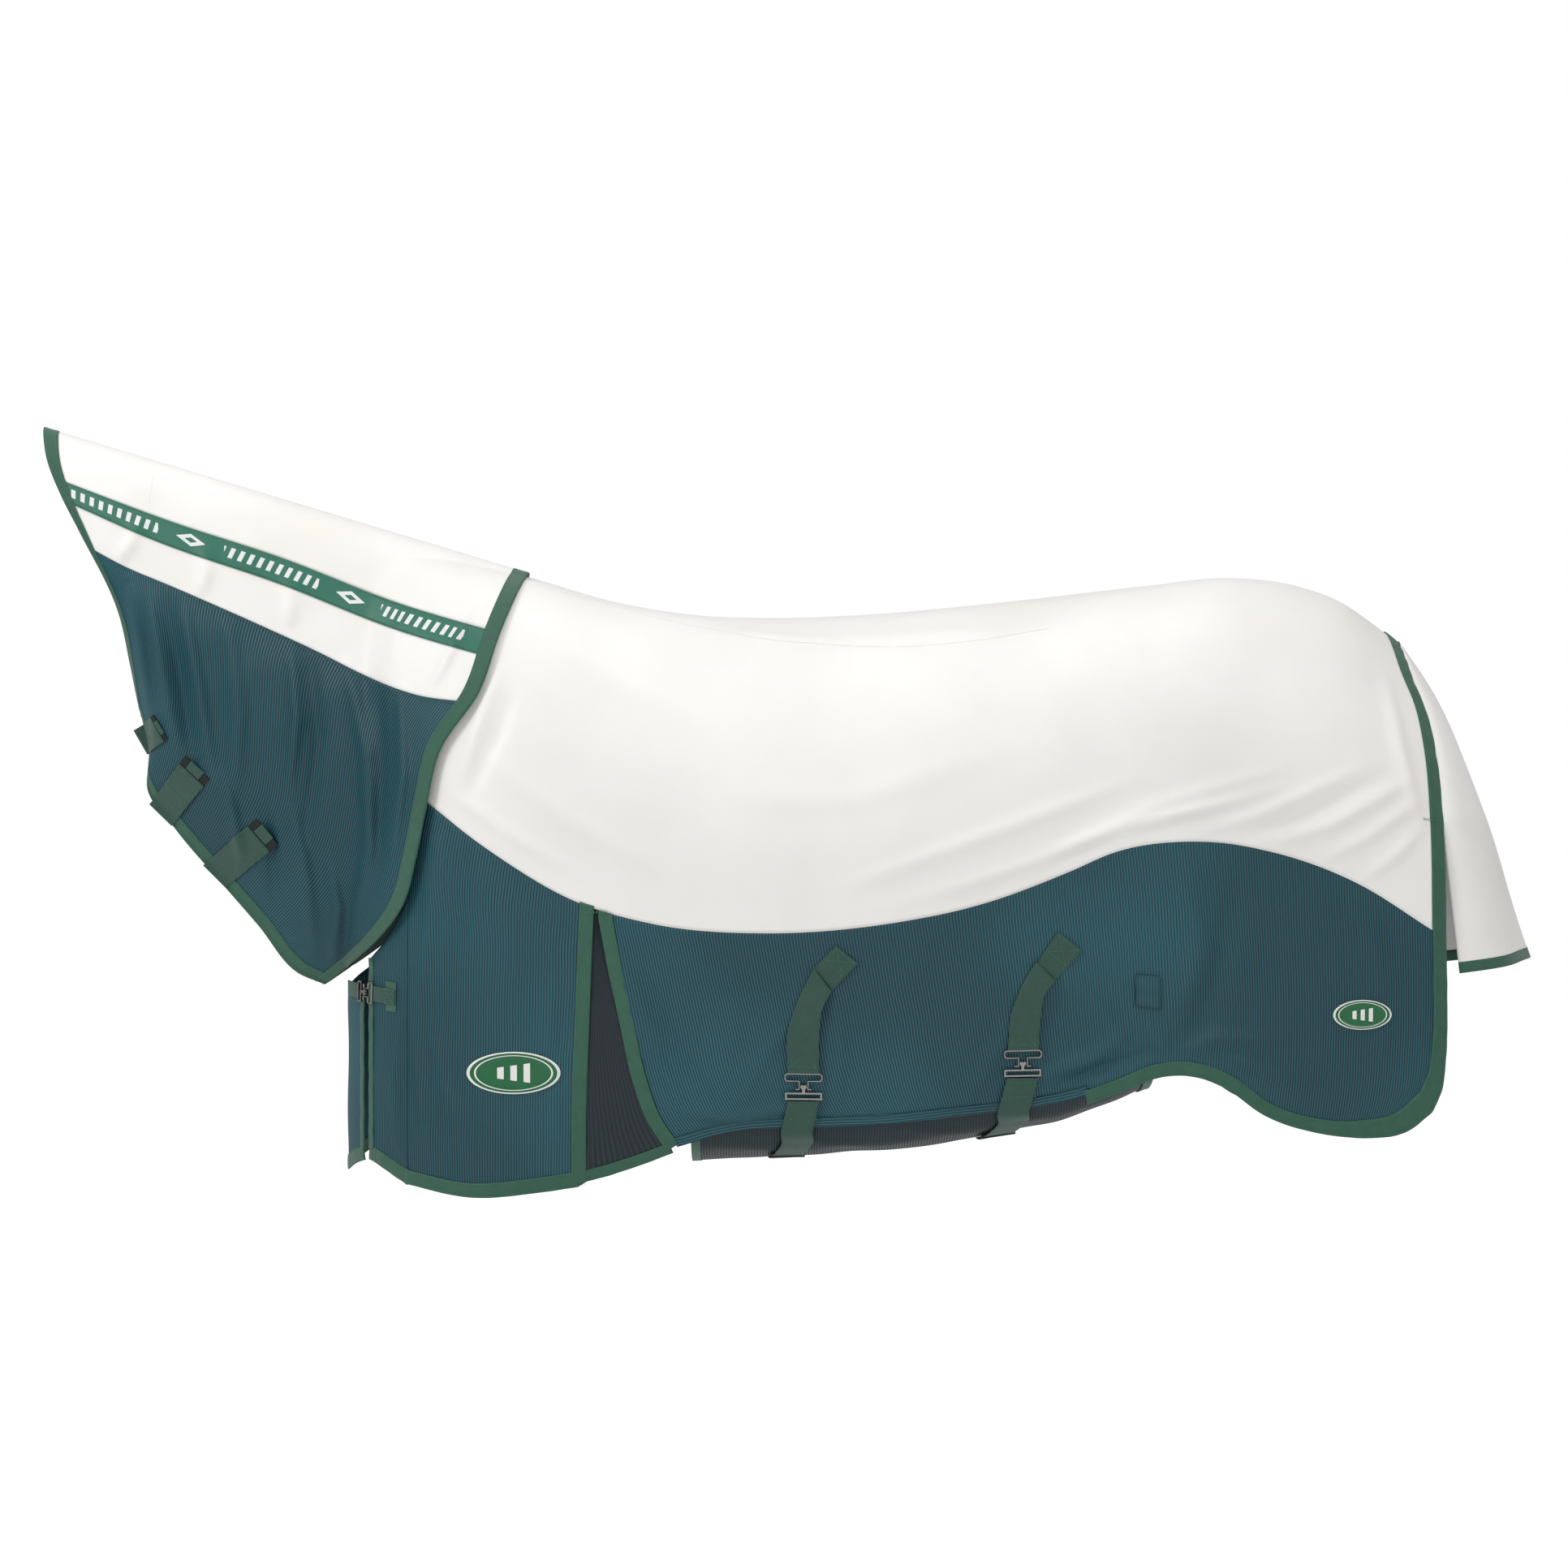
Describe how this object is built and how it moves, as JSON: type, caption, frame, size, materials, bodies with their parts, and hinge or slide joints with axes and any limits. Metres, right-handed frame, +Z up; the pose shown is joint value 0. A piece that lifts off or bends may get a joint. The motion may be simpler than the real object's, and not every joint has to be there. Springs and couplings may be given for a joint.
{
  "type": "fly sheet",
  "caption": "Horse fly sheet with neck cover, shoulder gussets, belly wrap and tail flap: white polyester over fine mesh, with clip straps at chest and belly.",
  "frame": {"origin": "lowest point of the back, on the spine seam", "axes": "+X towards the tail, +Y towards the right side of the horse, +Z up"},
  "size_m": [2.4588, 0.6112, 1.2552],
  "materials": {
    "white_polyester": "matt",
    "teal_mesh": "satin",
    "green_binding": "satin",
    "green_webbing": "matt",
    "dark_nickel": "polished",
    "badge": "satin",
    "black_plastic": "matt"
  },
  "bodies": {
    "body_sheet": {"belly_strap_anchor_front": "green_webbing", "belly_strap_anchor_rear": "green_webbing", "gusset_binding_left": "green_binding", "gusset_binding_right": "green_binding", "haunch_badge_left": "badge", "haunch_badge_right": "badge", "leg_strap_patch_left": "teal_mesh", "leg_strap_patch_right": "teal_mesh", "rear_binding_left": "green_binding", "rear_binding_right": "green_binding", "shoulder_badge_left": "badge", "shoulder_badge_right": "badge", "shoulder_binding_left": "green_binding", "shoulder_binding_right": "green_binding", "shoulder_gusset_left": "teal_mesh", "shoulder_gusset_right": "teal_mesh", "shoulder_panel_left": "teal_mesh", "shoulder_panel_right": "teal_mesh", "side_panel_left": "teal_mesh", "side_panel_right": "teal_mesh", "tail_insert": "white_polyester", "top_panel_left": "white_polyester", "top_panel_right": "white_polyester"},
    "neck_cover": {"neck_back_binding": "green_binding", "neck_band_left": "white_polyester", "neck_band_right": "white_polyester", "neck_crest_panel": "white_polyester", "neck_front_binding": "green_binding", "neck_mesh_left": "teal_mesh", "neck_mesh_right": "teal_mesh", "neck_stripe_left": "green_binding", "neck_stripe_right": "green_binding", "throat_binding_left": "green_binding", "throat_binding_right": "green_binding"},
    "tab_upper": {"throat_tab_upper": "green_webbing"},
    "tab_middle": {"throat_tab_middle": "green_webbing"},
    "tab_lower": {"throat_tab_lower": "green_webbing"},
    "tail_flap": {"tail_flap": "white_polyester", "tail_flap_binding": "green_binding"},
    "belly_wrap": {"belly_wrap": "teal_mesh"},
    "front_flap_left": {"front_flap_left": "teal_mesh", "front_flap_binding_left": "green_binding", "chest_strap_left": "green_webbing"},
    "front_flap_right": {"front_flap_right": "teal_mesh", "front_flap_binding_right": "green_binding", "chest_strap_right": "green_webbing"},
    "chest_hook": {"chest_hook": "dark_nickel"},
    "chest_catch": {"chest_catch": "dark_nickel"},
    "strap_upper_front": {"belly_strap_upper_front": "green_webbing"},
    "hook_front": {"belly_hook_front": "dark_nickel"},
    "strap_lower_front": {"belly_strap_lower_front": "green_webbing"},
    "catch_front": {"belly_catch_front": "dark_nickel"},
    "slider_front": {"belly_slider_front": "black_plastic"},
    "strap_upper_rear": {"belly_strap_upper_rear": "green_webbing"},
    "hook_rear": {"belly_hook_rear": "dark_nickel"},
    "strap_lower_rear": {"belly_strap_lower_rear": "green_webbing"},
    "catch_rear": {"belly_catch_rear": "dark_nickel"},
    "slider_rear": {"belly_slider_rear": "black_plastic"}
  },
  "joints": [
    {"name": "neck_raise", "type": "hinge", "parent": "body_sheet", "child": "neck_cover", "pos_m": [-0.42, 0, 0.06], "axis": [0, 1, 0], "range_deg": [0, 16]},
    {"name": "tab_upper_peel", "type": "hinge", "parent": "neck_cover", "child": "tab_upper", "pos_m": [-1.0565, -0.018, -0.206], "axis": [0.4981, 0, -0.8671], "range_deg": [0, 120]},
    {"name": "tab_middle_peel", "type": "hinge", "parent": "neck_cover", "child": "tab_middle", "pos_m": [-1.0235, -0.0115, -0.326], "axis": [0.717, 0, -0.697], "range_deg": [0, 120]},
    {"name": "tab_lower_peel", "type": "hinge", "parent": "neck_cover", "child": "tab_lower", "pos_m": [-0.9345, -0.0115, -0.4275], "axis": [0.7071, 0, -0.7071], "range_deg": [0, 120]},
    {"name": "tail_lift", "type": "hinge", "parent": "body_sheet", "child": "tail_flap", "pos_m": [1.174, 0, -0.333], "axis": [0, -1, 0], "range_deg": [0, 75]},
    {"name": "wrap_drop", "type": "hinge", "parent": "body_sheet", "child": "belly_wrap", "pos_m": [0.23, 0.2275, -0.8285], "axis": [0.9853, 0.047, 0.1641], "range_deg": [0, 60]},
    {"name": "strap_upper_front_swing", "type": "hinge", "parent": "body_sheet", "child": "strap_upper_front", "pos_m": [0.0456, -0.278, -0.6028], "axis": [-1, 0, 0], "range_deg": [0, 60]},
    {"name": "hook_front_turn", "type": "hinge", "parent": "strap_upper_front", "child": "hook_front", "pos_m": [0.0393, -0.2495, -0.7375], "axis": [-0.9991, 0.0403, 0.0101], "range_deg": [0, 40]},
    {"name": "strap_lower_front_fold", "type": "hinge", "parent": "belly_wrap", "child": "strap_lower_front", "pos_m": [0.0062, -0.1003, -0.882], "axis": [0.9986, -0.0164, 0.051], "range_deg": [0, 60]},
    {"name": "catch_front_turn", "type": "hinge", "parent": "strap_lower_front", "child": "catch_front", "pos_m": [0.0393, -0.2379, -0.7796], "axis": [0.9991, -0.0403, -0.0101], "range_deg": [0, 26]},
    {"name": "slider_front_slide", "type": "slide", "parent": "strap_lower_front", "child": "slider_front", "axis": [-0.1129, 0.9396, -0.323], "range_m": [-0.005, 0.008]},
    {"name": "strap_upper_rear_swing", "type": "hinge", "parent": "body_sheet", "child": "strap_upper_rear", "pos_m": [0.4084, -0.286, -0.575], "axis": [-1, 0, 0], "range_deg": [0, 60]},
    {"name": "hook_rear_turn", "type": "hinge", "parent": "strap_upper_rear", "child": "hook_rear", "pos_m": [0.3893, -0.2598, -0.6996], "axis": [-0.9982, -0.0581, -0.0162], "range_deg": [0, 40]},
    {"name": "strap_lower_rear_fold", "type": "hinge", "parent": "belly_wrap", "child": "strap_lower_rear", "pos_m": [0.3457, -0.1039, -0.8482], "axis": [0.983, 0.024, 0.1822], "range_deg": [0, 60]},
    {"name": "catch_rear_turn", "type": "hinge", "parent": "strap_lower_rear", "child": "catch_rear", "pos_m": [0.3893, -0.2478, -0.7416], "axis": [0.9982, 0.0581, 0.0162], "range_deg": [0, 26]},
    {"name": "slider_rear_slide", "type": "slide", "parent": "strap_lower_rear", "child": "slider_rear", "axis": [-0.144, 0.9423, -0.3023], "range_m": [-0.005, 0.008]},
    {"name": "flap_left_open", "type": "hinge", "parent": "body_sheet", "child": "front_flap_left", "pos_m": [-0.5985, -0.194, -0.65], "axis": [0, 0, 1], "range_deg": [0, 80]},
    {"name": "flap_right_open", "type": "hinge", "parent": "body_sheet", "child": "front_flap_right", "pos_m": [-0.5985, 0.194, -0.65], "axis": [0, 0, -1], "range_deg": [0, 80]},
    {"name": "chest_hook_turn", "type": "hinge", "parent": "front_flap_left", "child": "chest_hook", "pos_m": [-0.661, -0.1459, -0.6142], "axis": [0, 0, 1], "range_deg": [0, 40]},
    {"name": "chest_catch_turn", "type": "hinge", "parent": "front_flap_right", "child": "chest_catch", "pos_m": [-0.6855, -0.1116, -0.6115], "axis": [0, 0, -1], "range_deg": [0, 40]}
  ]
}
